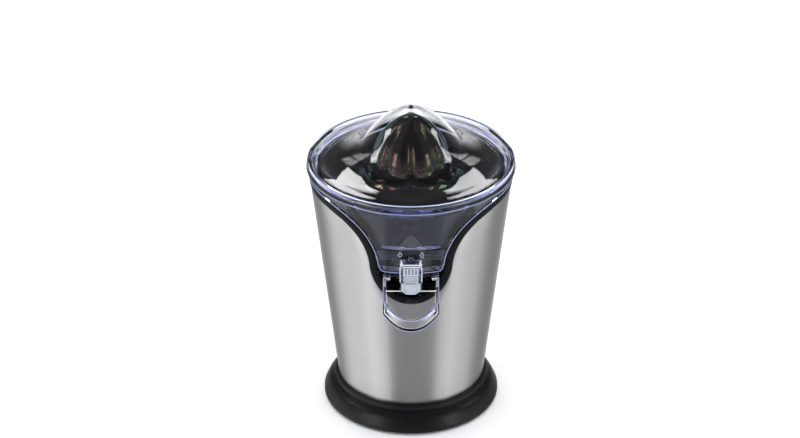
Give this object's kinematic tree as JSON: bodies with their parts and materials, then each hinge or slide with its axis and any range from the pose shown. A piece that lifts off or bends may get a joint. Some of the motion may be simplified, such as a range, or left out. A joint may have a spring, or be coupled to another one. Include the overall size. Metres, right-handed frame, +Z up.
{
  "type": "citrus press juicer",
  "caption": "Electric citrus press: tapered steel body on a flared foot, clear bowl with a flip-up front spout, lobed cone, strainer and domed clear lid.",
  "frame": {"origin": "at floor level under the rubber feet, below the middle of the object's outline with its spout; the cone's turning axis stands at y = +0.0248", "axes": "+Z up, parallel to the turning axis; the spout points along -Y; +X is to the right seen from the spout's side"},
  "size_m": [0.177, 0.2265, 0.281],
  "materials": {
    "brushed_steel": "brushed round the body",
    "black_satin": "satin",
    "black_gloss": "polished",
    "clear_plastic": "clear, polished, faintly blue",
    "grey_silicone": "satin, translucent",
    "black_rubber": "matte",
    "gear_nylon": "moulded",
    "bright_metal": "plated",
    "lamination": "stacked sheet",
    "copper": "enamelled wire and sintered bushes"
  },
  "bodies": {
    "base": {"foot_ring": "black_satin", "base_plate": "black_satin", "rubber_foot_1": "black_rubber", "rubber_foot_2": "black_rubber", "rubber_foot_3": "black_rubber", "rubber_foot_4": "black_rubber", "base_screw_1": "bright_metal", "base_screw_2": "bright_metal", "base_screw_3": "bright_metal", "base_screw_4": "bright_metal", "steel_shell": "brushed_steel", "rim_trim": "black_satin", "inner_housing": "black_satin", "cord_gland": "black_rubber", "terminal_block": "gear_nylon", "gearbox_plate": "bright_metal", "gearbox_screw_1": "bright_metal", "gearbox_screw_2": "bright_metal", "gearbox_screw_3": "bright_metal", "stator_stack": "lamination", "coil_upper": "copper", "coil_lower": "copper", "motor_bracket_top": "bright_metal", "motor_bracket_bottom": "bright_metal", "motor_bearing_top": "copper", "motor_bearing_bottom": "copper", "motor_screw_left": "bright_metal", "motor_screw_right": "bright_metal", "idler_pin": "bright_metal", "lower_bush": "copper", "upper_bush": "copper", "shaft_seal": "black_rubber", "switch_body": "black_satin"},
    "bowl": {"juice_bowl": "clear_plastic", "outlet_housing": "clear_plastic", "stop_pin": "bright_metal"},
    "spout": {"spout_tray": "clear_plastic", "spout_pin_left": "bright_metal", "spout_pin_right": "bright_metal"},
    "drip_stop": {"drip_lever": "clear_plastic", "drip_seal": "grey_silicone"},
    "strainer_body": {"strainer": "black_gloss"},
    "lid": {"dust_lid": "clear_plastic"},
    "cone_carrier": {"cone_washer": "gear_nylon"},
    "cone": {"juicing_cone": "black_gloss"},
    "output": {"output_gear": "gear_nylon"},
    "shaft": {"drive_shaft": "bright_metal", "shaft_clip": "bright_metal", "spring_washer": "bright_metal", "return_spring": "bright_metal"},
    "idler": {"idler_gear": "gear_nylon"},
    "rotor_body": {"rotor": "lamination", "motor_pinion": "bright_metal", "cooling_fan": "gear_nylon"},
    "lever": {"switch_lever": "bright_metal"}
  },
  "joints": [
    {"name": "bowl_lift", "type": "slide", "parent": "base", "child": "bowl", "axis": [0, 0, 1], "range_m": [0, 0.08]},
    {"name": "strainer_lift", "type": "slide", "parent": "bowl", "child": "strainer_body", "axis": [0, 0, 1], "range_m": [0, 0.035]},
    {"name": "lid_lift", "type": "slide", "parent": "strainer_body", "child": "lid", "axis": [0, 0, 1], "range_m": [0, 0.06]},
    {"name": "cone_press", "type": "slide", "parent": "strainer_body", "child": "cone_carrier", "axis": [0, 0, 1], "range_m": [-0.003, 0], "stiffness_N_per_m": 600, "springref_m": 0.006},
    {"name": "cone_spin", "type": "hinge", "parent": "cone_carrier", "child": "cone", "pos_m": [0, 0.0248, 0.2], "axis": [0, 0, 1], "continuous": true},
    {"name": "output_gear_spin", "type": "hinge", "parent": "base", "child": "output", "pos_m": [0, 0.0248, 0.164], "axis": [0, 0, 1], "continuous": true},
    {"name": "shaft_press", "type": "slide", "parent": "output", "child": "shaft", "axis": [0, 0, 1], "range_m": [-0.003, 0], "deforming": ["return_spring"]},
    {"name": "idler_spin", "type": "hinge", "parent": "base", "child": "idler", "pos_m": [-0.02992, 0.04296, 0.158], "axis": [0, 0, 1], "continuous": true},
    {"name": "rotor_spin", "type": "hinge", "parent": "base", "child": "rotor_body", "pos_m": [0, 0.0408, 0.1], "axis": [0, 0, 1], "continuous": true},
    {"name": "switch_lever_tilt", "type": "hinge", "parent": "base", "child": "lever", "pos_m": [0.027, 0.0248, 0.1376], "axis": [0, 1, 0], "range_deg": [-6.5, 0.5]},
    {"name": "spout_flip", "type": "hinge", "parent": "bowl", "child": "spout", "pos_m": [0, -0.0567, 0.162], "axis": [-1, 0, 0], "range_deg": [0, 60]},
    {"name": "drip_stop_close", "type": "hinge", "parent": "bowl", "child": "drip_stop", "pos_m": [0, -0.0632, 0.175], "axis": [1, 0, 0], "range_deg": [0, 7.6]}
  ],
  "couplings": [
    {"joint": "shaft_press", "follows": "cone_press", "ratio": 1},
    {"joint": "switch_lever_tilt", "follows": "cone_press", "rad_per_m": 36},
    {"joint": "output_gear_spin", "follows": "cone_spin", "ratio": 1},
    {"joint": "idler_spin", "follows": "cone_spin", "ratio": -3},
    {"joint": "rotor_spin", "follows": "cone_spin", "ratio": 12},
    {"joint": "drip_stop_close", "follows": "spout_flip", "ratio": 0.11667}
  ]
}
